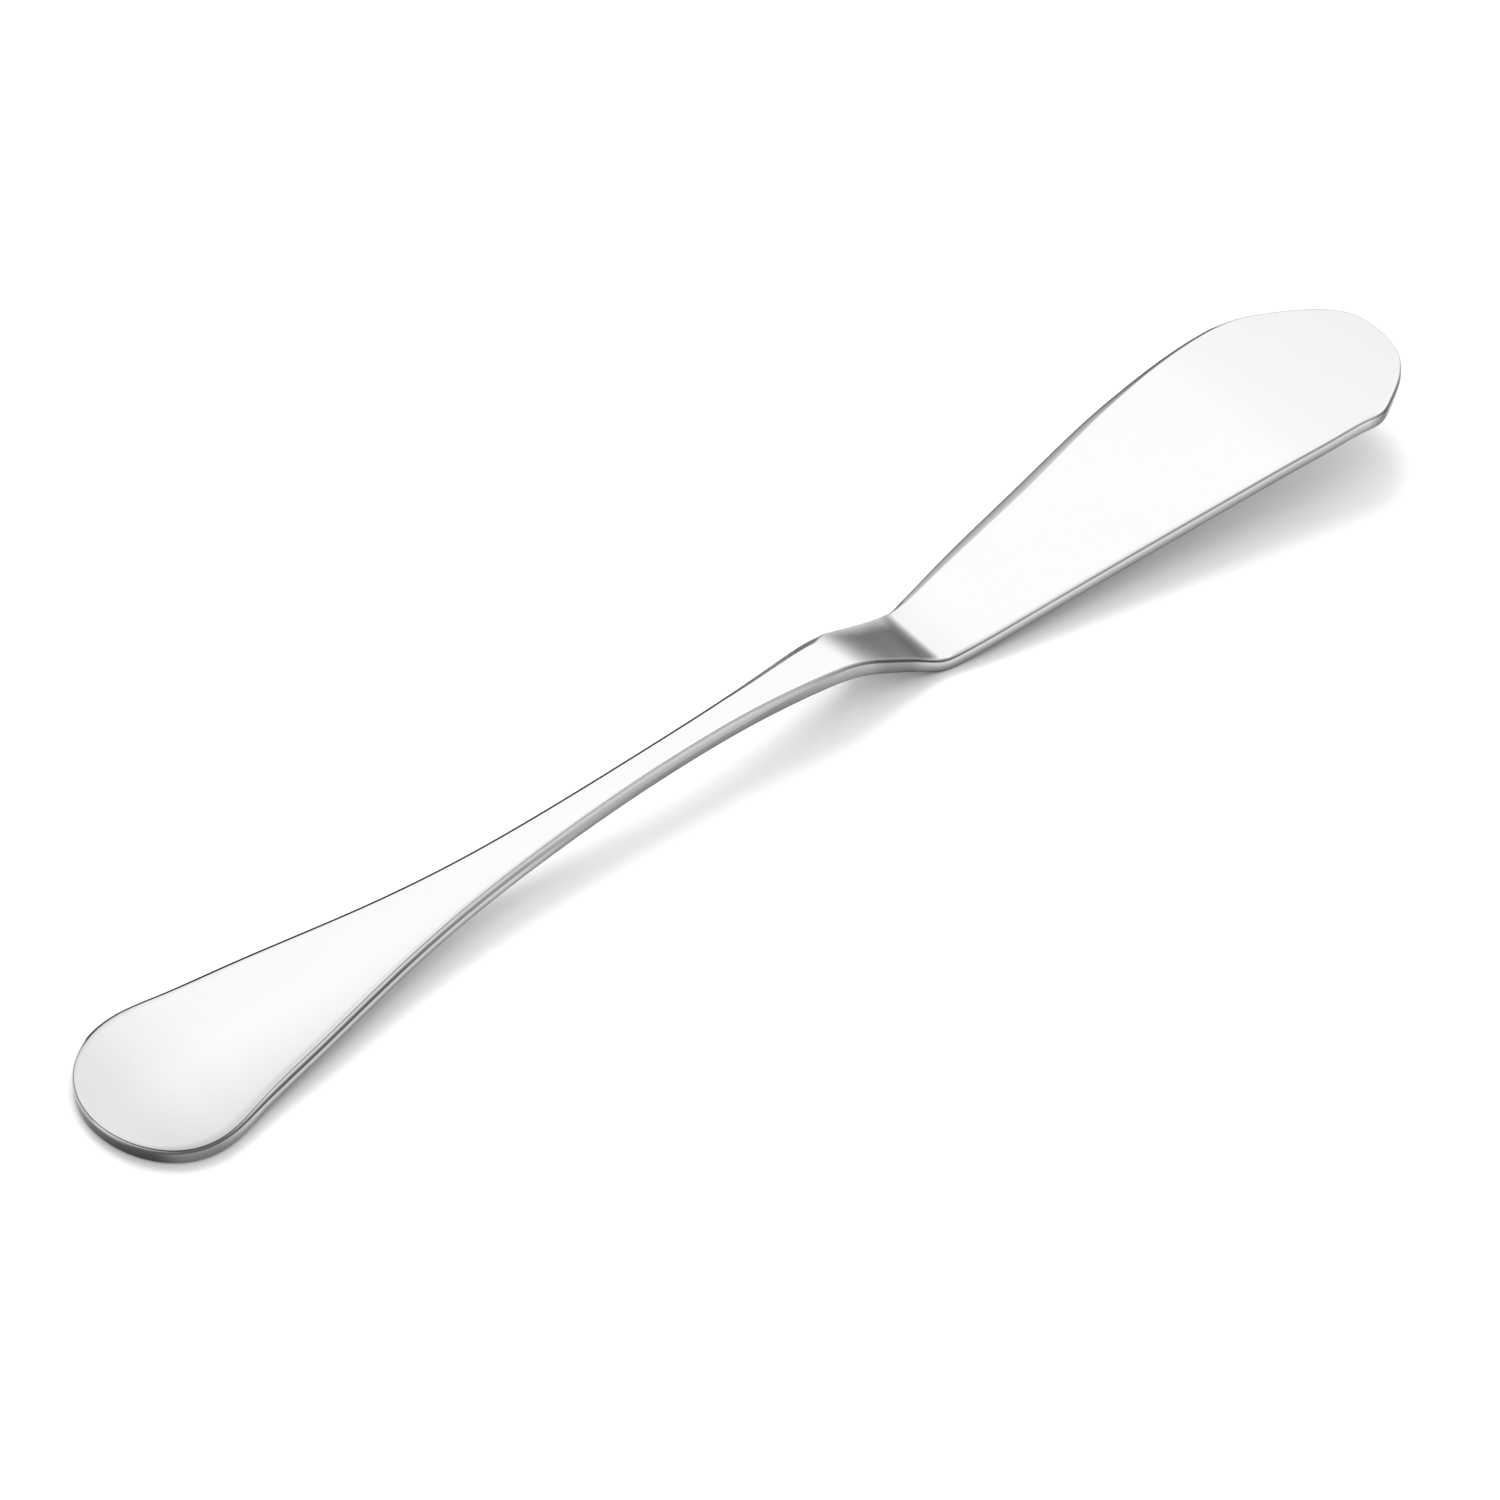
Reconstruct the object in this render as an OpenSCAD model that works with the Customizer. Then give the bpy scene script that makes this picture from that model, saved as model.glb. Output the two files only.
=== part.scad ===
// Cranked butter knife, made from one piece of polished steel.
// It lies on the table on two small flats, one under the handle's end and one under the heel.
// X runs from the handle's end to the blade's tip, +Y is the back of the blade, +Z is up.
// The origin is on the table, under the middle of the knife.

/* [Whole knife] */
// Length from the handle's end to the blade's tip
overall_l = 170; // [155:1:190]
// Length from the handle's end to the top of the crank
handle_l = 93.5; // [82:0.5:105]
// Length of the crank, from its top bend to the heel
crank_l = 10.5; // [9:0.5:15]

/* [Handle] */
// Width of the rounded end
end_w = 19.7; // [15:0.2:24]
// Distance from the end to the handle's widest place
end_round_l = 8.6; // [6:0.2:11]
// How far the end's curve leans, forward on the near side and back on the far side
end_lean = 0.5; // [0:0.1:1]
// Width at the slimmest place of the neck
neck_w = 3.2; // [3:0.1:6]
// Width at the top of the crank
crank_w = 5.8; // [5:0.1:8]
// Height of the arch's top above the table
arch_h = 7.4; // [6:0.1:12]
// How far the end's top face swells up in its middle
crown_h = 0.35; // [0:0.05:0.5]
// How far the top of the crank swells up in its middle
crank_crown_h = 0.06; // [0:0.01:0.12]

/* [Blade] */
// Width at the heel, where the blade leaves the crank
heel_w = 8.8; // [7:0.1:12]
// Reach of the back from the centre line
back_reach = 11.45; // [10:0.1:14]
// Reach of the straight spreading edge from the centre line
edge_reach = 11.4; // [10:0.1:14]
// Distance of the tip from the centre line, towards the spreading edge
tip_drop = 2.2; // [0:0.1:3]
// Height of the tip's top face above the table
tip_h = 10.2; // [5:0.1:14]

/* [Steel] */
// Thickness at the end's rim
end_t = 2.05; // [1.8:0.05:2.5]
// Thickness at the neck
neck_t = 2.2; // [2:0.05:3]
// Thickness at the heel, in the bend under the crank
heel_t = 1.85; // [1.6:0.05:2.2]
// Thickness of the blade
blade_t = 1.82; // [1.5:0.02:2.2]
// Depth of the flats that the knife rests on
flat_depth = 0.1; // [0.05:0.01:0.15]

/* [Edges] */
// Rounding of the plain edges
edge_r = 0.4; // [0.2:0.05:0.5]
// Upper rounding of the end's near side, inwards
end_round_w = 0.8; // [0.4:0.05:1]
// Upper rounding of the end's near side, downwards
end_round_h = 1.1; // [0.4:0.05:1.2]
// Upper rounding of the neck's near side, across the neck
neck_round_w = 0.95; // [0.5:0.05:1.1]
// Upper rounding of the neck's near side, downwards
neck_round_h = 1.4; // [0.5:0.05:1.4]
// Bevel along the handle's far side, across the handle
far_bevel_w = 0.5; // [0.2:0.05:0.8]
// Bevel along the handle's far side, downwards
far_bevel_h = 0.2; // [0.1:0.02:0.4]
// Upper rounding of the crank's far side, across the crank and downwards
crank_round_r = 0.25; // [0.15:0.05:0.5]
// Bevel along the blade's back, at its widest, across the blade
back_bevel_w = 1.3; // [0.4:0.05:2]
// Bevel along the blade's back, at its widest, downwards
back_bevel_h = 0.38; // [0.1:0.02:0.7]
// Rounding of the tip's underside, inwards
tip_round_w = 1.3; // [0.4:0.1:2]
// Rounding of the tip's underside, upwards
tip_round_h = 0.95; // [0.4:0.05:0.95]

/* [Hidden] */

// Places along the knife
neck_share = 0.77;
neck_x = handle_l * neck_share;
heel_x = handle_l + crank_l;
blade_l = overall_l - heel_x;
// Overrun of the block that cuts the flats
overrun = 5;

// Steps of the skin: between two outline points, round an upper edge, round a lower edge
rim_steps = 4;
round_steps = 4;
under_steps = 3;
end_angle_step = 22.5;

// Taper from the widest place to the neck: place along it, and share of the width still left
taper_shares = [[0, 1], [0.085, 0.88], [0.196, 0.7], [0.306, 0.52], [0.432, 0.32],
    [0.574, 0.155], [0.76, 0.042], [1, 0]];
// Neck to crank: place along it, and share of the width gained
flare_shares = [[0.45, 0.2], [0.75, 0.62], [1, 1]];
// Crank to heel: place along it, and share of the width gained
heel_flare_shares = [[0.28, 0.12], [0.5, 0.31], [0.75, 0.59], [1, 1]];
// Back of the blade: place along the blade, and share of the reach gained after the heel
back_shares = [[0.05, 0.09], [0.15, 0.29], [0.28, 0.51], [0.41, 0.72], [0.53, 0.895],
    [0.62, 0.97], [0.705, 1], [0.785, 0.96], [0.845, 0.83]];
// Straight spreading edge: place along the blade, and share of the reach gained after the heel
edge_shares = [[0.05, 0.1], [0.15, 0.22], [0.28, 0.345], [0.41, 0.477], [0.53, 0.604],
    [0.62, 0.7], [0.705, 0.793], [0.785, 0.887], [0.845, 0.96], [0.875, 1]];
// Clipped corner at the back of the tip: place along the blade, and share of the back's reach
clip_shares = [[0.885, 0.765], [0.967, 0.386], [0.992, 0.17]];
// Round corner at the edge side of the tip: place along the blade, and share of the edge's reach
corner_shares = [[0.905, 0.935], [0.95, 0.78], [0.986, 0.54]];
// Rise of the handle's top face: place along the handle, and share of the arch's rise
arch_shares = [[0, 0], [0.092, 0.03], [0.16, 0.135], [0.337, 0.38], [0.524, 0.62],
    [0.717, 0.877], [0.856, 0.98], [0.93, 1], [0.97, 0.985], [1, 0.915]];
// Fall of the crank's top face: place along the crank, and share of the fall still left
crank_shares = [[0.276, 0.73], [0.467, 0.562], [0.657, 0.388], [0.838, 0.222], [0.995, 0.077],
    [1.076, 0.02]];
// Blade's top face, from the heel's lowest place: place along the blade, and share of its rise
blade_rise_shares = [[0.026, 0], [0.044, 0.015], [0.135, 0.113], [0.5, 0.491], [1, 1]];
// Places along the handle where its roundings start, reach their full size and end
end_round_shares = [0.03, 0.1, 0.18];
neck_round_shares = [0.55, 0.74, 0.86];
far_bevel_shares = [0.04, 0.95];
// Places along the blade where its back is plain again, and where the tip's underside is soft
plain_back_share = 0.87;
tip_round_shares = [0.86, 0.95];
// Bevel of the back: place along the blade, and shares of its full width and of its full depth
back_bevel_shares = [[0.05, 0.5, 0.5], [0.2, 0.85, 0.85], [0.35, 1, 1], [0.5, 0.8, 0.85],
    [0.65, 0.45, 0.6], [0.8, 0.3, 0.4]];
// A rounding's fullness: 1 for a round one, up to 2 for a straight bevel
bevel_fullness = 1.8;
// Points across the flat of the top and of the underside
middle_shares = [0.25, 0.5, 0.75];

// Smooth step from a to b, with the slopes da and db at its ends
function hermite(a, b, da, db, u) =
    a * (1 + 2 * u) * (1 - u) ^ 2 + b * (3 - 2 * u) * u ^ 2
    + da * u * (1 - u) ^ 2 - db * (1 - u) * u ^ 2;

// Smooth height y at place x through the points of a table
function chord(p, a, b) = (p[b][1] - p[a][1]) / (p[b][0] - p[a][0]);
function slope(p, i) = chord(p, max(i - 1, 0), min(i + 1, len(p) - 1));
function span_of(p, x, i = 0) =
    i >= len(p) - 2 || x < p[i + 1][0] ? i : span_of(p, x, i + 1);
function smooth_at(p, x) =
    let (i = span_of(p, x), l = p[i + 1][0] - p[i][0])
    hermite(p[i][1], p[i + 1][1], slope(p, i) * l, slope(p, i + 1) * l, (x - p[i][0]) / l);

// Smooth closed curve through the points of a loop, heading at each along its two chords' mean
function ring(p, i) = p[(i + len(p)) % len(p)];
function heading(p, i) =
    let (before = ring(p, i) - ring(p, i - 1), after = ring(p, i + 1) - ring(p, i),
        b = norm(before), a = norm(after))
    (before / b * a + after / a * b) / (a + b);
function loop_at(p, i, u) =
    let (l = norm(ring(p, i + 1) - ring(p, i)))
    hermite(ring(p, i), ring(p, i + 1), heading(p, i) * l, heading(p, i + 1) * l, u);

// Outline seen from above. The handle and the crank are alike on both sides, but for the lean
// of the rounded end
half_end = end_w / 2;
half_neck = neck_w / 2;
half_crank = crank_w / 2;
half_heel = heel_w / 2;
function gained(start, end, share) = start + (end - start) * share;
function back_to_front(p) = [for (i = [len(p) - 1 : -1 : 0]) [p[i][0], -p[i][1]]];
handle_side = concat(
    [for (a = [end_angle_step : end_angle_step : 90 - end_angle_step])
        [end_round_l * (1 - cos(a)), half_end * sin(a)]],
    [for (s = taper_shares)
        [gained(end_round_l, neck_x, s[0]), gained(half_neck, half_end, s[1])]],
    [for (s = flare_shares)
        [gained(neck_x, handle_l, s[0]), gained(half_neck, half_crank, s[1])]],
    [for (s = heel_flare_shares)
        [gained(handle_l, heel_x, s[0]), gained(half_crank, half_heel, s[1])]]);
back_side = concat(
    [for (s = back_shares) [heel_x + blade_l * s[0], gained(half_heel, back_reach, s[1])]],
    [for (s = clip_shares) [heel_x + blade_l * s[0], back_reach * s[1]]]);
edge_side = concat(
    [for (s = edge_shares) [heel_x + blade_l * s[0], gained(half_heel, edge_reach, s[1])]],
    [for (s = corner_shares) [heel_x + blade_l * s[0], edge_reach * s[1]]]);
function leaned(p) = p[0] < end_round_l
    ? [p[0] - end_lean * p[1] / half_end * (1 - p[0] / end_round_l), p[1]] : p;
loop = concat([[0, 0]], handle_side, back_side,
    [[overall_l, -tip_drop]], back_to_front(edge_side), back_to_front(handle_side));
outline = [for (p = loop) leaned(p)];

// The rim, stepped finely. Its second half runs back along the spreading edge
rim = [for (i = [0 : len(outline) - 1], k = [0 : rim_steps - 1])
    loop_at(outline, i, k / rim_steps)];
tip_i = len(rim) / 2;
function inward(i) =
    let (along = ring(rim, i + 1) - ring(rim, i - 1))
    [along[1], -along[0]] / norm(along);

// Height of the top face's rim, the thickness and the roundings, at any place along the knife
end_h = end_t - flat_depth;
heel_h = heel_t - flat_depth;
top_line = concat(
    [for (s = arch_shares) [handle_l * s[0], gained(end_h, arch_h, s[1])]],
    [for (s = crank_shares) [gained(handle_l, heel_x, s[0]), gained(heel_h, arch_h, s[1])]],
    [for (s = blade_rise_shares) [heel_x + blade_l * s[0], gained(heel_h, tip_h, s[1])]]);
heel_low = blade_rise_shares[0][0];
heel_end = blade_rise_shares[2][0];
thickness_line = [[0, end_t], [end_round_l, end_t], [neck_x, neck_t], [handle_l, neck_t],
    [heel_x + blade_l * heel_low, heel_t], [heel_x + blade_l * heel_end, blade_t]];
function top_at(x) = smooth_at(top_line, x);
function under_at(x) = top_at(x) - lookup(x, thickness_line);
// Swell of the middle of the top face, where the face is w wide. The handle's dies out towards
// the neck, and the crank's comes up over the neck and dies out at the heel
function dome(u) = 1 - u ^ 2;
function handle_crown(x, w) = crown_h * w / end_w * (x < end_round_l ? dome(1 - x / end_round_l)
    : x < neck_x ? dome((x - end_round_l) / (neck_x - end_round_l)) : 0);
function crank_crown(x) = x < neck_x || x > heel_x ? 0
    : crank_crown_h * dome((x - handle_l) / (x < handle_l ? handle_l - neck_x : crank_l)) ^ 2;
// Roundings: how far across, how far up or down, and their fullness
plain = [edge_r, edge_r, 1];
end_round = [end_round_w, end_round_h, 1];
neck_round = [neck_round_w, neck_round_h, 1];
far_bevel = [far_bevel_w, far_bevel_h, bevel_fullness];
crank_round = [crank_round_r, crank_round_r, 1];
tip_round = [tip_round_w, tip_round_h, 1];
// Place along the knife, and rounding there: upper near side, upper far side and underside
near_line = [[0, plain], [handle_l * end_round_shares[0], end_round],
    [handle_l * end_round_shares[1], end_round], [handle_l * end_round_shares[2], plain],
    [handle_l * neck_round_shares[0], plain],
    [handle_l * neck_round_shares[1], neck_round], [handle_l * neck_round_shares[2], neck_round],
    [handle_l, plain]];
far_line = concat(
    [[0, plain], [handle_l * far_bevel_shares[0], far_bevel],
        [handle_l * far_bevel_shares[1], far_bevel], [handle_l, crank_round],
        [heel_x, crank_round]],
    [for (s = back_bevel_shares) [heel_x + blade_l * s[0],
        [back_bevel_w * s[1], back_bevel_h * s[2], bevel_fullness]]],
    [[heel_x + blade_l * plain_back_share, plain]]);
under_line = [[heel_x + blade_l * tip_round_shares[0], plain],
    [heel_x + blade_l * tip_round_shares[1], tip_round]];
function rounding_at(line, x) = [for (k = [0 : 2]) lookup(x, [for (p = line) [p[0], p[1][k]]])];

// A point of the skin at rim point i, where the rounding has turned by the angle a
function inset(i, depth) = ring(rim, i) + inward(i) * depth;
function top_point(i, a, line) =
    let (r = rounding_at(line, ring(rim, i)[0]), p = inset(i, r[0] * (1 - cos(a) ^ r[2])))
    [p[0], p[1], top_at(p[0]) - r[1] * (1 - sin(a) ^ r[2])];
function under_point(i, a) =
    let (r = rounding_at(under_line, ring(rim, i)[0]), p = inset(i, r[0] * (1 - cos(a))))
    [p[0], p[1], under_at(p[0]) + r[1] * (1 - sin(a))];
function over_round(i, line) =
    [for (k = [0 : round_steps]) top_point(i, 90 * k / round_steps, line)];
function under_round(i) = [for (k = [0 : under_steps]) under_point(i, 90 * k / under_steps)];
function turned(p) = [for (i = [len(p) - 1 : -1 : 0]) p[i]];

// One ring of the skin: over the top from the back to the edge, then back underneath
function section(i) =
    let (j = 2 * tip_i - i,
        back_top = over_round(i, far_line), edge_top = turned(over_round(j, near_line)),
        edge_under = under_round(j), back_under = turned(under_round(i)),
        a = back_top[round_steps], b = edge_top[0],
        c = edge_under[under_steps], d = back_under[0],
        crown = handle_crown(a[0], norm(b - a)) + crank_crown(a[0]))
    concat(back_top,
        [for (s = middle_shares) a + (b - a) * s + [0, 0, crown * dome(2 * s - 1)]],
        edge_top, edge_under,
        [for (s = middle_shares) c + (d - c) * s],
        back_under);

// At the end and at the tip both sides meet, so a ring closes to one upright profile there
ring_n = 2 * (round_steps + under_steps + 2 + len(middle_shares));
profile_n = round_steps + under_steps + 2;
function profile(i) = concat(over_round(i, near_line), turned(under_round(i)));
function profile_place(m) =
    let (top_n = round_steps + 1, under_n = under_steps + 1, mid_n = len(middle_shares))
    m < top_n ? m
    : m < top_n + mid_n ? top_n - 1
    : m < 2 * top_n + mid_n ? 2 * top_n + mid_n - 1 - m
    : m < 2 * top_n + mid_n + under_n ? profile_n - 1 - (m - 2 * top_n - mid_n)
    : m < 2 * top_n + 2 * mid_n + under_n ? top_n
    : m - 2 * top_n - 2 * mid_n - under_n + top_n;
function index(i, m) =
    i == 0 ? profile_place(m % ring_n)
    : i == tip_i ? profile_n + profile_place(m % ring_n)
    : 2 * profile_n + (i - 1) * ring_n + m % ring_n;
function whole(f) = f[0] != f[1] && f[1] != f[2] && f[2] != f[0];

// The plate between the top face and the underside, before its flats are ground
module blank() {
    skin = concat(profile(0), profile(tip_i),
        [for (i = [1 : tip_i - 1]) each section(i)]);
    quads = [for (i = [0 : tip_i - 1], m = [0 : ring_n - 1])
        [index(i, m), index(i + 1, m), index(i + 1, m + 1), index(i, m + 1)]];
    polyhedron(skin, [for (q = quads, f = [[q[0], q[1], q[2]], [q[0], q[2], q[3]]])
        if (whole(f)) f]);
}

// The whole knife, with its two resting flats on the table's plane
module knife() {
    back_w = max(back_reach, half_end);
    edge_w = max(edge_reach, half_end);
    color("gainsboro")
    translate([-overall_l / 2, (edge_w - back_w) / 2, 0])
    difference() {
        blank();
        translate([-overrun, -edge_w - overrun, -overrun])
        cube([overall_l + 2 * overrun, edge_w + back_w + 2 * overrun, overrun]);
    }
}

knife();
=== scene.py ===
"""A cranked butter knife of polished steel, lying on a white table in soft studio light.

The knife is worked out in millimetres: x runs from the handle's end to the blade's tip, +y is the
back of the blade, z is up from the table. It becomes metres, round the frame's own origin, only
when its mesh is made.
"""

from math import cos, pi, radians, sin

import bmesh
import bpy
import numpy as np
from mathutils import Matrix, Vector


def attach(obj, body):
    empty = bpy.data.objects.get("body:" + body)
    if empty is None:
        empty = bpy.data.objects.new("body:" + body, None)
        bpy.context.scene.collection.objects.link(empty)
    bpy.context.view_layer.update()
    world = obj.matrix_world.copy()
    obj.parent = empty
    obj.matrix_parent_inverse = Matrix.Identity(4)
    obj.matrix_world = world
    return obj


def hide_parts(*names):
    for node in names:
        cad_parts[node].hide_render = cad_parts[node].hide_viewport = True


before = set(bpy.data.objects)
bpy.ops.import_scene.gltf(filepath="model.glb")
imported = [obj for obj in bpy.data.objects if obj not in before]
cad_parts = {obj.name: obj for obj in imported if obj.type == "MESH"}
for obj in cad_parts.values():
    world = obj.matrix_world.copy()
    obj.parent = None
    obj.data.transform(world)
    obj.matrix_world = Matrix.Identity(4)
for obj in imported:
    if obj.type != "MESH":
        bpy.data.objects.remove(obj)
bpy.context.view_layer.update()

MM = 0.001

# Sizes of the knife, in millimetres, as in the part's source
OVERALL_L = 170.0
HANDLE_L = 93.5
CRANK_L = 10.5
END_W = 19.7
END_ROUND_L = 8.6
END_LEAN = 0.5
NECK_W = 3.2
CRANK_W = 5.8
ARCH_H = 7.4
CROWN_H = 0.35
CRANK_CROWN_H = 0.06
HEEL_W = 8.8
BACK_REACH = 11.45
EDGE_REACH = 11.4
TIP_DROP = 2.2
TIP_H = 10.2
END_T = 2.05
NECK_T = 2.2
HEEL_T = 1.85
BLADE_T = 1.82
FLAT_DEPTH = 0.1
NECK_SHARE = 0.77

NECK_X = HANDLE_L * NECK_SHARE
HEEL_X = HANDLE_L + CRANK_L
BLADE_L = OVERALL_L - HEEL_X
END_H = END_T - FLAT_DEPTH
HEEL_H = HEEL_T - FLAT_DEPTH

# Roundings: how far across, how far down, and their fullness, which is 1 for a round one and 2 for
# a straight bevel. On the handle and the neck, those of the upper edge are tuned to the photograph
# and differ from the part's source
EDGE_R = 0.4
BEVEL_FULLNESS = 1.8
PLAIN = (EDGE_R, EDGE_R, 1)
END_ROUND = (0.2, 0.6, 1)
HANDLE_ROUND = (0.4, 1.2, 1)
NECK_ROUND = (0.5, 1.4, 1)
FAR_BEVEL = (0.36, 0.16, BEVEL_FULLNESS)
NECK_BEVEL = (0.8, 0.3, BEVEL_FULLNESS)
CRANK_ROUND = (0.25, 0.25, 1)
BACK_BEVEL = (1.3, 0.38)
TIP_ROUND = (1.3, 0.95, 1)

# Tables of shares: a place along a stretch, and a share of what that stretch gains or loses
TAPER_SHARES = [(0, 1), (0.085, 0.88), (0.196, 0.7), (0.306, 0.52), (0.432, 0.32),
                (0.574, 0.155), (0.76, 0.042), (1, 0)]
FLARE_SHARES = [(0.45, 0.2), (0.75, 0.62), (1, 1)]
HEEL_FLARE_SHARES = [(0.28, 0.12), (0.5, 0.31), (0.75, 0.59), (1, 1)]
BACK_SHARES = [(0.05, 0.09), (0.15, 0.29), (0.28, 0.51), (0.41, 0.72), (0.53, 0.895),
               (0.62, 0.97), (0.705, 1), (0.785, 0.96), (0.845, 0.83)]
EDGE_SHARES = [(0.05, 0.1), (0.15, 0.22), (0.28, 0.345), (0.41, 0.477), (0.53, 0.604),
               (0.62, 0.7), (0.705, 0.793), (0.785, 0.887), (0.845, 0.96), (0.875, 1)]
CLIP_SHARES = [(0.885, 0.765), (0.967, 0.386), (0.992, 0.17)]
CORNER_SHARES = [(0.905, 0.935), (0.95, 0.78), (0.986, 0.54)]
ARCH_SHARES = [(0, 0), (0.092, 0.03), (0.16, 0.135), (0.337, 0.38), (0.524, 0.62),
               (0.717, 0.877), (0.856, 0.98), (0.93, 1), (0.97, 0.985), (1, 0.915)]
CRANK_SHARES = [(0.276, 0.73), (0.467, 0.562), (0.657, 0.388), (0.838, 0.222), (0.995, 0.077),
                (1.076, 0.02)]
BLADE_RISE_SHARES = [(0.026, 0), (0.044, 0.015), (0.135, 0.113), (0.5, 0.491), (1, 1)]
BACK_BEVEL_SHARES = [(0.05, 0.5, 0.5), (0.2, 0.85, 0.85), (0.35, 1, 1), (0.5, 0.8, 0.85),
                     (0.65, 0.45, 0.6), (0.8, 0.3, 0.4)]

# Roundings by their place, as a share of the handle's length or of the blade's: upper near side,
# upper far side and underside
NEAR_ROUND_SHARES = [(0, END_ROUND), (0.09, END_ROUND), (0.18, HANDLE_ROUND), (0.55, HANDLE_ROUND),
                     (0.74, NECK_ROUND), (0.86, NECK_ROUND), (1, PLAIN)]
FAR_ROUND_SHARES = [(0, END_ROUND), (0.06, FAR_BEVEL), (0.85, FAR_BEVEL), (0.99, NECK_BEVEL),
                    (1.01, CRANK_ROUND)]
BACK_PLAIN_SHARE = 0.87
UNDER_ROUND_SHARES = [(0.86, PLAIN), (0.95, TIP_ROUND)]

# The same in places along the knife
NEAR_LINE = [(HANDLE_L * share, rounding) for share, rounding in NEAR_ROUND_SHARES]
FAR_LINE = [*[(HANDLE_L * share, rounding) for share, rounding in FAR_ROUND_SHARES],
            (HEEL_X, CRANK_ROUND),
            *[(HEEL_X + BLADE_L * at, (BACK_BEVEL[0] * w, BACK_BEVEL[1] * h, BEVEL_FULLNESS))
              for at, w, h in BACK_BEVEL_SHARES],
            (HEEL_X + BLADE_L * BACK_PLAIN_SHARE, PLAIN)]
UNDER_LINE = [(HEEL_X + BLADE_L * share, rounding) for share, rounding in UNDER_ROUND_SHARES]

# Finish lines: places along the knife, and how far the steel is satin there, or how far its colour
# is darkened. The darkening is painted shade: along the edges, walls and foot it stands in for dark
# reflections of the shadowed table and the dim room, and the face is darker towards the end, the
# heel and the tip. The side walls are less polished than the faces. The shades run down the side:
# face, shoulder and edge of the upper rounding, wall, its foot and the underside
SATIN_LINE = [(0, 0.25), (30, 0.3), (56, 1), (98, 0.9), (108, 0.3), (OVERALL_L, 0.2)]
CRANK_SATIN = [(91, 0), (95, 0.8), (103, 0.8), (107, 0.3), (110, 0)]
UNDER_SATIN = [(0, 0.1), (OVERALL_L, 0.1)]
FACE_SHADE = [(0, 0.22), (4, 0.19), (9, 0.08), (14, 0), (103, 0), (105.5, 0.05), (109, 0),
              (148, 0), (153, 0.05), (OVERALL_L, 0.1)]
SHOULDER_SHADE = [(0, 0.1), (1.5, 0.2), (3, 0.6), (5, 0.9), (8.5, 0.9), (12, 0.3), (15, 0),
                  (92, 0), (97, 0.8), (102, 0.8), (104.5, 0.2), (107, 0), (OVERALL_L, 0)]
EDGE_SHADE = [(0, 0.6), (1.4, 1), (33, 1), (42, 0.85), (50, 0.75), (58, 0.6), (66, 0.55),
              (88, 0.5), (95, 0.8), (98, 1), (104, 1), (109, 0.6), (118, 0.35), (125, 0.45),
              (157, 0.4), (160, 0.2), (162, 1), (166, 1), (168, 0.3), (OVERALL_L, 0.3)]
WALL_SHADE = [(0, 1), (2.5, 1), (4.5, 0.75), (8, 0.7), (11, 0.3), (13, 0.15), (50, 0.2),
              (58, 0.6), (70, 0.75), (84, 0.75), (92, 0.5), (96, 0.5), (98, 0.7), (101, 0.7),
              (103, 0.4), (106, 0.15), (140, 0.25), (160, 0.35), (162, 0.95), (167, 0.8),
              (OVERALL_L, 0.5)]
FOOT_SHADE = [(0, 1), (2.5, 1), (4.5, 0.75), (8, 0.75), (14, 1), (50, 1), (60, 0.85),
              (92, 0.85), (98, 1), (OVERALL_L, 1)]
UNDER_SHADE = [(0, 0.15), (OVERALL_L, 0.15)]
FAR_SHADE = [(0, 0.6), (8, 0.15), (12, 0.3), (18, 1), (79, 1), (82, 0.7), (86, 0.4), (88, 0.4),
             (91, 0.7), (93, 0.6), (96, 0), (106, 0), (112, 0.1), (OVERALL_L, 0.1)]
NEAR_SHADES = [FACE_SHADE, SHOULDER_SHADE, EDGE_SHADE, WALL_SHADE, FOOT_SHADE, UNDER_SHADE]
FAR_SHADES = [FACE_SHADE, FAR_SHADE, FAR_SHADE, WALL_SHADE, FOOT_SHADE, UNDER_SHADE]
# Degrees round a corner, and the places down the side there, which count from 0 for the face to 5
# for the underside. The upper corner is turned from the wall to the face, the lower one from the
# wall to the underside
UPPER_PLACES = [(8, 3), (18, 2), (33, 2), (60, 1), (75, 1), (90, 0)]
LOWER_PLACES = [(0, 3.6), (20, 4), (90, 4)]
UNDER_PLACE = 5.0
# Share of the crank's width, from its back, over which its satin fades, and the least that the fade
# comes down to, before it is squared
CRANK_BACK_SHARE = 0.45
CRANK_FADE = 0.25

# Marks on the steel: their sizes along the knife, across it and upwards, in metres, and the turn of
# their noise about z, in radians
LINE_SIZE = (0.02, 0.00025, 0.00025)
LINE_TURN = 0.0
SMUDGE_SIZE = (0.012, 0.007, 0.007)
SMUDGE_TURN = 0.6
TINT_SIZE = (0.03, 0.012, 0.012)
TINT_TURN = 0.3
SCRATCH_SIZE = (0.009, 0.00012, 0.00012)
SCRATCH_TURNS = (0.22, -0.5, 1.1)
SOFT_DETAIL = 1.0
MILD_DETAIL = 2.0
FINE_DETAIL = 3.0
# Values of the noise between which a mark comes up
SCRATCH_CUT = (0.7, 0.76)
SCRATCHED_CUT = (0.4, 0.65)
SMUDGE_CUT = (0.45, 0.7)
# The roughness of the bare steel, and what each mark and full satin add to it. Then the depth of
# the relief, in metres, and what the marks add to the relief and to the colour
BARE_ROUGHNESS = 0.03
LINE_ROUGHNESS = 0.03
SMUDGE_ROUGHNESS = 0.03
SCRATCH_ROUGHNESS = 0.04
SATIN_ROUGHNESS = 0.33
RELIEF_DEPTH = 0.0000005
LINE_RELIEF = 0.25
SCRATCH_RELIEF = 0.3
SCRATCH_TINT = 0.12
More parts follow.
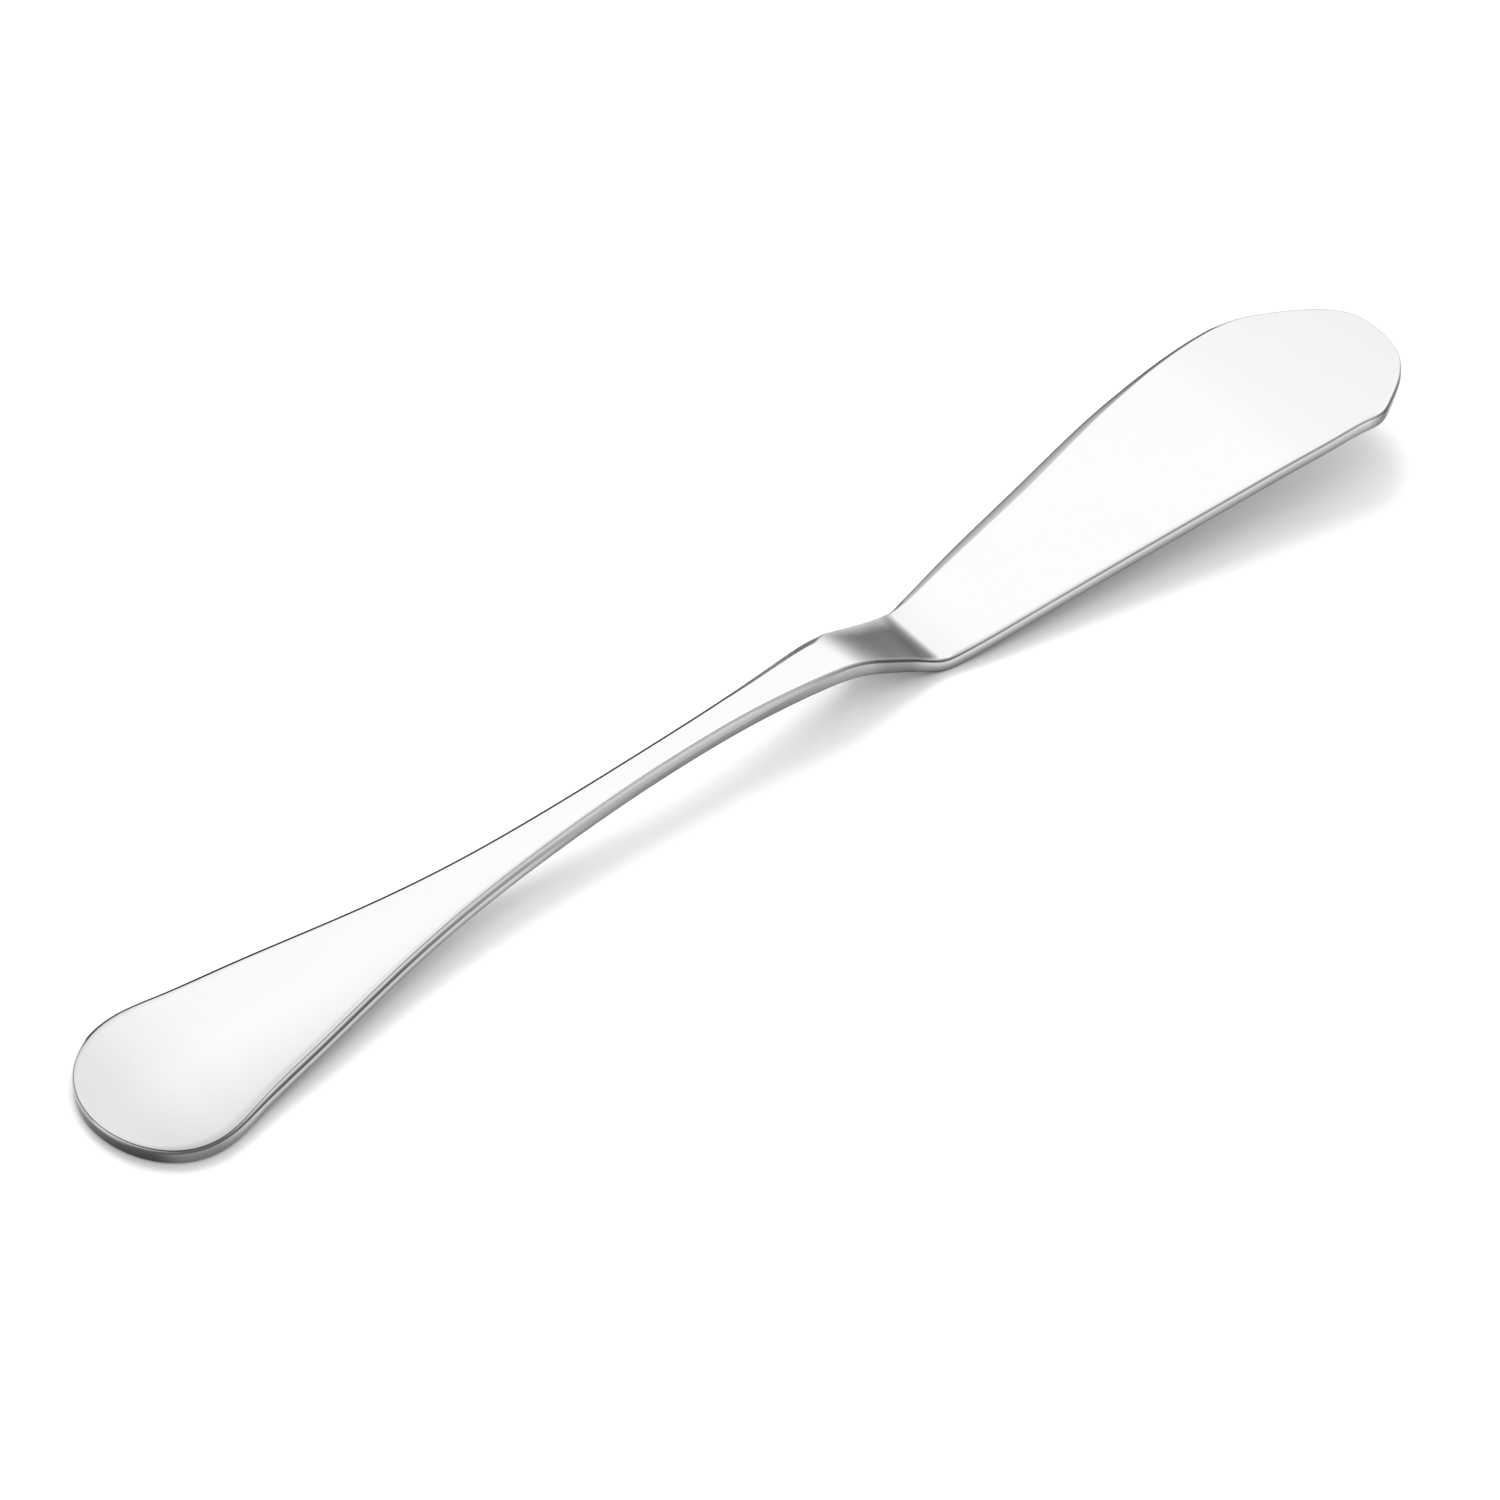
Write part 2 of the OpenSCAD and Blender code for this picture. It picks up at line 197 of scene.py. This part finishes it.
# Colours of the steel: bare, between two tints, then inside a scratch, and the dark colour of full
# painted shade
STEEL_COOL = (0.775, 0.78, 0.785, 1)
STEEL_WARM = (0.79, 0.785, 0.77, 1)
STEEL_DULL = (0.42, 0.42, 0.415, 1)
PAINTED_SHADE_STEEL = (0.08, 0.08, 0.079, 1)

# Steps of the knife's surface
RIM_STEPS = 14
ROUND_STEPS = 10
UNDER_STEPS = 7
FACE_STEPS = 22
END_ANGLES = (22.5, 45, 67.5)
# Points nearer than this become one, and edges shorter than this go, in millimetres
MERGE_GAP = 0.002
SHORTEST_EDGE = 0.001

# The table: its reach each way from the origin, in metres, and its colour
TABLE_REACH = 3.0
TABLE_WHITE = (0.93, 0.93, 0.93, 1)

# The view. The camera's place, its aim and the nearest distance that it sees are in metres, in the
# frame's axes, and its lens and its sensor's width in millimetres
CAMERA_AT = (-0.22731, -0.27749, 0.38214)
CAMERA_AIM = (-0.00314, -0.00049, 0.0)
CAMERA_LENS = 120.0
SENSOR_W = 36.0
NEAREST_SEEN = 0.01

# The surroundings that the steel mirrors. Turns are in degrees to the left of where the camera
# looks, and elevations in degrees above the table. A panel's light rises between the first two
# turns and falls between the last two, and does the same by elevation. Its leans are the degrees
# that its lower and upper edges go down for each degree to the left. The upper one counts only on
# the right of where the camera looks
BASE_LIGHT = 0.11
BACK_PANEL = {"turns": (-95, -15, 10, 140), "rises": (4, 36), "falls": (52, 69),
              "leans": (-0.35, 0.4), "light": 1.13}
RIGHT_PANEL = {"turns": (-178, -160, -95, -50), "rises": (-10, 15), "falls": (50, 66),
               "leans": (0.0, 0.0), "light": 0.45}
OVERHEAD = {"rises": (51, 68), "light": 0.72}
BACKDROP_LIGHT = 1.0

# The lamps. Turns and elevations are as above, the energy is in watts per square metre, and the
# angle is how wide the lamp looks, in degrees
KEY_LAMP = {"turn": 13, "elevation": 54, "energy": 1.2, "angle": 27}
FILL_LAMP = {"turn": 0, "elevation": 90, "energy": 1.4, "angle": 150}

# Sockets of a mix node, where several share a name: the numbers and the colours that go in, and the
# colour that comes out
NUMBER_A, NUMBER_B = 2, 3
COLOUR_A, COLOUR_B = 6, 7
COLOUR_OUT = 2


def smooth_curve(places, values, at):
    """A smooth curve through points, at the given places.

    Between two points it is a cubic whose second slope runs straight from one point's value to
    the next one's. Those values are the ones at which the slopes meet at every point.
    """
    n = len(places)
    h = np.diff(places)
    rise = np.diff(values, axis=0) / h[:, None]
    system = np.eye(n)
    system[1:-1, :-2] += np.diag(h[:-1])
    system[1:-1, 1:-1] += np.diag(2 * (h[:-1] + h[1:]) - 1)
    system[1:-1, 2:] += np.diag(h[1:])
    bend = np.linalg.solve(system, 6 * np.vstack([rise[:1] * 0, np.diff(rise, axis=0), rise[:1] * 0]))
    i = np.clip(np.searchsorted(places, at, side="right") - 1, 0, n - 2)
    u = (at - places[i])[:, None]
    w = (places[i + 1] - at)[:, None]
    span = h[i][:, None]
    return (bend[i] * w**3 + bend[i + 1] * u**3) / (6 * span) \
        + (values[i] / span - bend[i] * span / 6) * w \
        + (values[i + 1] / span - bend[i + 1] * span / 6) * u


def gained(start, end, share):
    """The value a share of the way from start to end."""
    return start + (end - start) * share


def places_on(start, end, shares, from_value, to_value):
    """Points of a share table, laid between two places and two values."""
    t = np.array(shares, float)
    return np.stack([gained(start, end, t[:, 0]), gained(from_value, to_value, t[:, 1])], 1)


def outline():
    """The knife seen from above, as a closed loop from the end along the back to the tip and home."""
    a = np.radians(END_ANGLES)
    half_end, half_neck, half_crank, half_heel = END_W / 2, NECK_W / 2, CRANK_W / 2, HEEL_W / 2
    handle = np.vstack([
        np.stack([END_ROUND_L * (1 - np.cos(a)), half_end * np.sin(a)], 1),
        places_on(END_ROUND_L, NECK_X, TAPER_SHARES, half_neck, half_end),
        places_on(NECK_X, HANDLE_L, FLARE_SHARES, half_neck, half_crank),
        places_on(HANDLE_L, HEEL_X, HEEL_FLARE_SHARES, half_crank, half_heel)])
    back = np.vstack([places_on(HEEL_X, OVERALL_L, BACK_SHARES, half_heel, BACK_REACH),
                      places_on(HEEL_X, OVERALL_L, CLIP_SHARES, 0, BACK_REACH)])
    edge = np.vstack([places_on(HEEL_X, OVERALL_L, EDGE_SHARES, half_heel, EDGE_REACH),
                      places_on(HEEL_X, OVERALL_L, CORNER_SHARES, 0, EDGE_REACH)])
    homeward = np.vstack([edge[::-1], handle[::-1]]) * [1, -1]
    loop = np.vstack([[[0, 0]], handle, back, [[OVERALL_L, -TIP_DROP]], homeward])
    loop[:, 0] -= END_LEAN * loop[:, 1] / half_end * (1 - loop[:, 0] / END_ROUND_L).clip(0)
    return loop


def rim():
    """The outline stepped finely: a smooth curve by distance walked, run three times round the
    loop so that its middle round closes on itself without a corner."""
    loop = outline()
    n = len(loop)
    rounds = np.vstack([loop, loop, loop, loop[:1]])
    walked = np.r_[0, np.cumsum(np.linalg.norm(np.diff(rounds, axis=0), axis=1))]
    steps = n * RIM_STEPS
    at = np.interp(np.arange(steps) / RIM_STEPS + n, np.arange(len(walked)), walked)
    return smooth_curve(walked, rounds, at)


def top_line():
    """Places and heights of the top face, from the end over the arch and the crank to the tip."""
    t = np.vstack([places_on(0, HANDLE_L, ARCH_SHARES, END_H, ARCH_H),
                   places_on(HANDLE_L, HEEL_X, CRANK_SHARES, HEEL_H, ARCH_H),
                   places_on(HEEL_X, OVERALL_L, BLADE_RISE_SHARES, HEEL_H, TIP_H)])
    return t[:, 0], t[:, 1]


def height_at(x):
    """Height of the top face's rim above the table at each place x."""
    places, heights = top_line()
    return smooth_curve(places, heights[:, None], np.ravel(x))[:, 0].reshape(np.shape(x))


def thickness_at(x):
    """Thickness of the steel at each place x, in straight runs between its named values."""
    low, level = (HEEL_X + BLADE_L * BLADE_RISE_SHARES[k][0] for k in (0, 2))
    return np.interp(x, [END_ROUND_L, NECK_X, HANDLE_L, low, level],
                     [END_T, NECK_T, NECK_T, HEEL_T, BLADE_T])


def rounding_at(line, x):
    """Reach across, reach down and fullness of a line of roundings, at each place x."""
    places = [place for place, _ in line]
    return [np.interp(x, places, values)[:, None] for values in zip(*[r for _, r in line])]


def crown_at(x, width):
    """Swell of the top face's middle line, for a face of the given width.

    The handle's dies out towards the neck. A second swell comes up over the neck and dies out
    down the crank.
    """
    rising = 1 - np.clip(1 - x / END_ROUND_L, 0, 1) ** 2
    to_neck = 1 - np.clip((x - END_ROUND_L) / (NECK_X - END_ROUND_L), 0, 1) ** 2
    stretch = np.where(x < HANDLE_L, HANDLE_L - NECK_X, CRANK_L)
    at_crank = (1 - np.clip(np.abs(x - HANDLE_L) / stretch, 0, 1) ** 2) ** 2
    return CROWN_H * width / END_W * rising * to_neck + CRANK_CROWN_H * at_crank


def knife_surface():
    """Points of the knife as a grid of rings, 0 at the end and the last at the tip.

    A ring joins the rim's point on the back to its partner on the edge. It goes over the top,
    round the edge and home underneath. Round a corner that has turned by the angle a, a point
    lies w (1 - cos a ^ f) inward of the rim and h (1 - sin a ^ f) short of the face, for a
    rounding that reaches w across and h down, of fullness f.
    """
    line = rim()
    along = np.roll(line, -1, 0) - np.roll(line, 1, 0)
    inward = np.stack([along[:, 1], -along[:, 0]], 1) / np.linalg.norm(along, axis=1)[:, None]
    half = len(line) // 2
    back_i = np.arange(half + 1)
    edge_i = -back_i % len(line)

    def corner(i, steps, w, h, fullness):
        a = np.linspace(0, pi / 2, steps + 1)
        across = w * (1 - np.cos(a).clip(0) ** fullness)
        p = line[i][:, None] + inward[i][:, None] * across[..., None]
        return p, height_at(p[..., 0]), h * (1 - np.sin(a) ** fullness)

    def upper(i, roundings):
        p, face, down = corner(i, ROUND_STEPS, *rounding_at(roundings, line[i, 0]))
        return np.dstack([p, face - down])

    def lower(i):
        p, face, up = corner(i, UNDER_STEPS, *rounding_at(UNDER_LINE, line[i, 0]))
        return np.dstack([p, face - thickness_at(p[..., 0]) + up])

    back_top, edge_top = upper(back_i, FAR_LINE), upper(edge_i, NEAR_LINE)[:, ::-1]
    edge_under, back_under = lower(edge_i), lower(back_i)[:, ::-1]
    share = np.linspace(0, 1, FACE_STEPS + 1)[1:-1, None]

    def face(a, b):
        return a[:, None] + (b - a)[:, None] * share

    top = face(back_top[:, -1], edge_top[:, 0])
    width = np.linalg.norm(back_top[:, -1] - edge_top[:, 0], axis=1)[:, None]
    top[..., 2] += crown_at(top[..., 0], width) * (1 - (2 * share[:, 0] - 1) ** 2)
    under = face(edge_under[:, -1], back_under[:, 0])
    rings = np.concatenate([back_top, top, edge_top, edge_under, under, back_under], 1)
    rings[..., 2] = np.maximum(rings[..., 2], 0)
    return rings


def satin_and_shade_shares(rings):
    """How satin each point of the knife is, and how far painted shade darkens it, by its place down the
    side.

    Between two neighbouring places, as between two neighbouring points of a finish line, a value
    runs straight from one to the other. The crank's face is satin too, most of all towards its
    back: by the square of what is left of the fade.
    """
    upper = np.interp(np.linspace(0, 90, ROUND_STEPS + 1), *zip(*UPPER_PLACES))
    lower = np.interp(np.linspace(0, 90, UNDER_STEPS + 1), *zip(*LOWER_PLACES))
    top, under = np.zeros(FACE_STEPS - 1), np.full(FACE_STEPS - 1, UNDER_PLACE)
    place = np.r_[upper, top, upper[::-1], lower, under, lower[::-1]]
    is_far = np.arange(len(place)) < len(upper)
    across = np.interp(np.arange(len(place)), [len(upper) - 1, len(upper) + FACE_STEPS - 1], [0, 1])
    x = rings[..., 0]

    def down_the_side(lines):
        values = [np.interp(x, *zip(*line)) for line in lines]
        weights = [np.clip(1 - np.abs(place - k), 0, 1) for k in range(len(lines))]
        return sum(w * v for w, v in zip(weights, values))

    # Painted shade: dark reflections and shadow painted down the sides, from the near and far lines
    shade = np.where(is_far, down_the_side(FAR_SHADES), down_the_side(NEAR_SHADES))
    back = np.clip(1 - across / CRANK_BACK_SHARE, CRANK_FADE, 1) ** 2
    crank = np.interp(x, *zip(*CRANK_SATIN)) * back * (place < 1)
    sides = down_the_side([[(0, 0)], *[SATIN_LINE] * 4, UNDER_SATIN])
    return {"satin": np.maximum(sides, crank), "shade": shade}


def in_frame(points):
    """Millimetres from the handle's end to metres round the frame's origin."""
    middle = np.array([OVERALL_L / 2, (BACK_REACH - EDGE_REACH) / 2, 0])
    return (points - middle) * MM


def make_mesh(name, rings, shares, material):
    """A closed skin over a grid of rings, each ring closed on itself, its end rings zipped shut.

    The shares are values for each point of the grid, which the material reads by name.
    """
    n, m = rings.shape[:2]
    i, j = np.meshgrid(np.arange(n - 1), np.arange(m), indexing="ij")
    k = (j + 1) % m
    quads = np.stack([i * m + j, (i + 1) * m + j, (i + 1) * m + k, i * m + k], -1).reshape(-1, 4)
    mesh = bpy.data.meshes.new(name)
    mesh.from_pydata(rings.reshape(-1, 3).tolist(), [], quads.tolist())
    for share, values in shares.items():
        mesh.attributes.new(share, "FLOAT", "POINT").data.foreach_set("value", values.ravel())
    skin = bmesh.new()
    skin.from_mesh(mesh)
    bmesh.ops.remove_doubles(skin, verts=skin.verts, dist=MERGE_GAP * MM)
    bmesh.ops.dissolve_degenerate(skin, edges=skin.edges, dist=SHORTEST_EDGE * MM)
    bmesh.ops.recalc_face_normals(skin, faces=skin.faces)
    skin.to_mesh(mesh)
    skin.free()
    mesh.polygons.foreach_set("use_smooth", np.ones(len(mesh.polygons), bool))
    mesh.materials.append(material)
    piece = bpy.data.objects.new(name, mesh)
    bpy.context.scene.collection.objects.link(piece)
    return piece


class Tree:
    """A node tree, with short calls for the nodes that the finishes and the studio share."""

    def __init__(self, tree):
        self.nodes = tree.nodes
        self.links = tree.links

    def put(self, kind, sockets, output=0, **settings):
        """A new node with its settings and sockets filled or linked, and one of its outputs."""
        node = self.nodes.new(kind)
        for name, value in settings.items():
            setattr(node, name, value)
        for name, value in sockets.items():
            self.feed(node.inputs[name], value)
        return node.outputs[output]

    def feed(self, socket, value):
        """A socket's value, or the link to it."""
        if isinstance(value, bpy.types.NodeSocket):
            self.links.new(value, socket)
        else:
            socket.default_value = value

    def sum(self, operation, a, b=0.0):
        """One sum on two numbers."""
        return self.put("ShaderNodeMath", {0: a, 1: b}, operation=operation)

    def ramp(self, value, start, end, at_start=0.0, at_end=1.0):
        """A smooth step from one value to another."""
        return self.put("ShaderNodeMapRange", {"Value": value, "From Min": start, "From Max": end,
                                               "To Min": at_start, "To Max": at_end},
                        interpolation_type="SMOOTHSTEP")

    def blend(self, share, a, b):
        """A colour the given share of the way from a to b."""
        return self.put("ShaderNodeMix", {"Factor": share, COLOUR_A: a, COLOUR_B: b}, COLOUR_OUT,
                        data_type="RGBA")

    def grain(self, place, size, turn, detail=MILD_DETAIL):
        """Noise whose spots have the given size in metres, turned about z. It runs from 0 to 1."""
        at = self.put("ShaderNodeMapping", {"Vector": place, "Rotation": (0, 0, turn)})
        at = self.put("ShaderNodeVectorMath", {0: at, 1: [1 / s for s in size]}, operation="MULTIPLY")
        return self.put("ShaderNodeTexNoise", {"Vector": at, "Scale": 1.0, "Detail": detail})


def steel():
    """Polished steel: a near mirror with fine lines along the knife, a few hairline scratches and
    faint smudges. It turns satin as far as the knife's shares say, and darker where they lay
    painted shade: dark reflections painted along its edges, walls and foot."""
    material = bpy.data.materials.new("polished_steel")
    material.use_nodes = True
    tree = Tree(material.node_tree)
    shader = tree.nodes["Principled BSDF"]
    shader.inputs["Metallic"].default_value = 1.0
    place = tree.put("ShaderNodeTexCoord", {}, "Object")
    satin, shade = (tree.put("ShaderNodeAttribute", {}, "Fac", attribute_name=name)
                    for name in ("satin", "shade"))

    lines = tree.grain(place, LINE_SIZE, LINE_TURN, FINE_DETAIL)
    smudges = tree.grain(place, SMUDGE_SIZE, SMUDGE_TURN, FINE_DETAIL)
    tint = tree.grain(place, TINT_SIZE, TINT_TURN)
    scratches = 0.0
    for turn in SCRATCH_TURNS:
        cut = tree.ramp(tree.grain(place, SCRATCH_SIZE, turn, SOFT_DETAIL), *SCRATCH_CUT)
        scratches = tree.sum("MAXIMUM", scratches, cut)
    thin = tree.sum("MULTIPLY", scratches, tree.ramp(smudges, *SCRATCHED_CUT))

    colour = tree.blend(tint, STEEL_COOL, STEEL_WARM)
    colour = tree.blend(tree.sum("MULTIPLY", thin, SCRATCH_TINT), colour, STEEL_DULL)
    # Painted shade: the colour darkens towards the dark steel where the shade share says
    colour = tree.blend(shade, colour, PAINTED_SHADE_STEEL)
    tree.feed(shader.inputs["Base Color"], colour)

    rough = tree.sum("ADD", tree.sum("MULTIPLY", lines, LINE_ROUGHNESS), BARE_ROUGHNESS)
    rough = tree.sum("ADD", rough, tree.ramp(smudges, *SMUDGE_CUT, 0.0, SMUDGE_ROUGHNESS))
    rough = tree.sum("ADD", rough, tree.sum("MULTIPLY", thin, SCRATCH_ROUGHNESS))
    rough = tree.sum("ADD", rough, tree.sum("MULTIPLY", satin, SATIN_ROUGHNESS))
    tree.feed(shader.inputs["Roughness"], rough)

    raised = tree.sum("MULTIPLY", lines, LINE_RELIEF)
    relief = tree.sum("SUBTRACT", raised, tree.sum("MULTIPLY", thin, SCRATCH_RELIEF))
    bump = tree.put("ShaderNodeBump", {"Height": relief, "Strength": 1.0, "Distance": RELIEF_DEPTH})
    tree.feed(shader.inputs["Normal"], bump)
    return material


def table_white():
    """Matt white, without any gloss."""
    material = bpy.data.materials.new("white_table")
    material.use_nodes = True
    shader = material.node_tree.nodes["Principled BSDF"]
    shader.inputs["Base Color"].default_value = TABLE_WHITE
    shader.inputs["Roughness"].default_value = 1.0
    shader.inputs["Specular IOR Level"].default_value = 0.0
    return material


def table():
    """A large flat table top at the height that the knife rests on."""
    reach = TABLE_REACH
    mesh = bpy.data.meshes.new("table")
    corners = [(-reach, -reach, 0), (reach, -reach, 0), (reach, reach, 0), (-reach, reach, 0)]
    mesh.from_pydata(corners, [], [(0, 1, 2, 3)])
    mesh.materials.append(table_white())
    top = bpy.data.objects.new("table", mesh)
    bpy.context.scene.collection.objects.link(top)


def view_direction(turn, elevation):
    """A direction in the frame's axes. The turn is in degrees to the left of where the camera
    looks along the table, and the elevation in degrees above the table."""
    ahead = Vector(CAMERA_AIM) - Vector(CAMERA_AT)
    ahead.z = 0
    ahead.normalize()
    left = Vector((-ahead.y, ahead.x, 0))
    flat = ahead * cos(radians(turn)) + left * sin(radians(turn))
    return flat * cos(radians(elevation)) + Vector((0, 0, sin(radians(elevation))))


def studio():
    """The world: a dim room with a broad soft panel of light behind the knife, another one to its
    right, and a light overhead. The camera sees plain white instead.

    A panel's light is the product of four smooth steps: it rises and falls once by turn and once
    by elevation. The lower edge of the panel behind the knife climbs towards the left. Right of
    where the camera looks, its upper edge climbs towards the right.
    """
    world = bpy.data.worlds.new("studio")
    bpy.context.scene.world = world
    world.use_nodes = True
    tree = Tree(world.node_tree)
    background = tree.nodes["Background"]
    background.inputs["Color"].default_value = (1, 1, 1, 1)
    place = tree.put("ShaderNodeTexCoord", {}, "Generated")

    def along(axis):
        return tree.put("ShaderNodeVectorMath", {0: place, 1: axis}, "Value", operation="DOT_PRODUCT")

    left, ahead = along(view_direction(90, 0)), along(view_direction(0, 0))
    turn = tree.sum("DEGREES", tree.sum("ARCTAN2", left, ahead))
    elevation = tree.sum("DEGREES", tree.sum("ARCSINE", along((0, 0, 1))))
    rightward = tree.sum("MINIMUM", turn, 0.0)

    def panel(shape):
        start, full, fading, end = shape["turns"]
        lower_lean, upper_lean = shape["leans"]
        low = tree.sum("ADD", elevation, tree.sum("MULTIPLY", turn, lower_lean))
        high = tree.sum("ADD", elevation, tree.sum("MULTIPLY", rightward, upper_lean))
        wide = tree.sum("MULTIPLY", tree.ramp(turn, start, full), tree.ramp(turn, fading, end, 1.0, 0.0))
        tall = tree.sum("MULTIPLY", tree.ramp(low, *shape["rises"]),
                        tree.ramp(high, *shape["falls"], 1.0, 0.0))
        return tree.sum("MULTIPLY", tree.sum("MULTIPLY", wide, tall), shape["light"])

    overhead = tree.sum("MULTIPLY", tree.ramp(elevation, *OVERHEAD["rises"]), OVERHEAD["light"])
    total = tree.sum("ADD", panel(BACK_PANEL), panel(RIGHT_PANEL))
    total = tree.sum("ADD", tree.sum("ADD", total, overhead), BASE_LIGHT)
    seen = tree.put("ShaderNodeLightPath", {}, "Is Camera Ray")
    shown = tree.put("ShaderNodeMix", {"Factor": seen, NUMBER_A: total, NUMBER_B: BACKDROP_LIGHT},
                     data_type="FLOAT")
    tree.feed(background.inputs["Strength"], shown)


def lamp(name, turn, elevation, energy, angle):
    """A broad lamp far away. It lights the table and casts the soft shadows, and the steel mirrors
    the panels instead of it."""
    data = bpy.data.lights.new(name, "SUN")
    data.energy = energy
    data.angle = radians(angle)
    light = bpy.data.objects.new(name, data)
    light.rotation_euler = view_direction(turn, elevation).to_track_quat("Z", "Y").to_euler()
    light.visible_glossy = False
    bpy.context.scene.collection.objects.link(light)


def camera():
    """The photograph's view: a long lens, half-way up, from the handle's side."""
    data = bpy.data.cameras.new("view")
    data.lens = CAMERA_LENS
    data.sensor_width = SENSOR_W
    data.clip_start = NEAREST_SEEN
    eye = bpy.data.objects.new("view", data)
    eye.location = CAMERA_AT
    aim = Vector(CAMERA_AIM) - Vector(CAMERA_AT)
    eye.rotation_euler = aim.to_track_quat("-Z", "Y").to_euler()
    bpy.context.scene.collection.objects.link(eye)
    bpy.context.scene.camera = eye


skin = knife_surface()
knife = make_mesh("knife_polished", in_frame(skin), satin_and_shade_shares(skin), steel())
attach(knife, "root")
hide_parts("knife")

table()
studio()
lamp("key", **KEY_LAMP)
lamp("fill", **FILL_LAMP)
camera()
bpy.context.scene.view_settings.view_transform = "Standard"
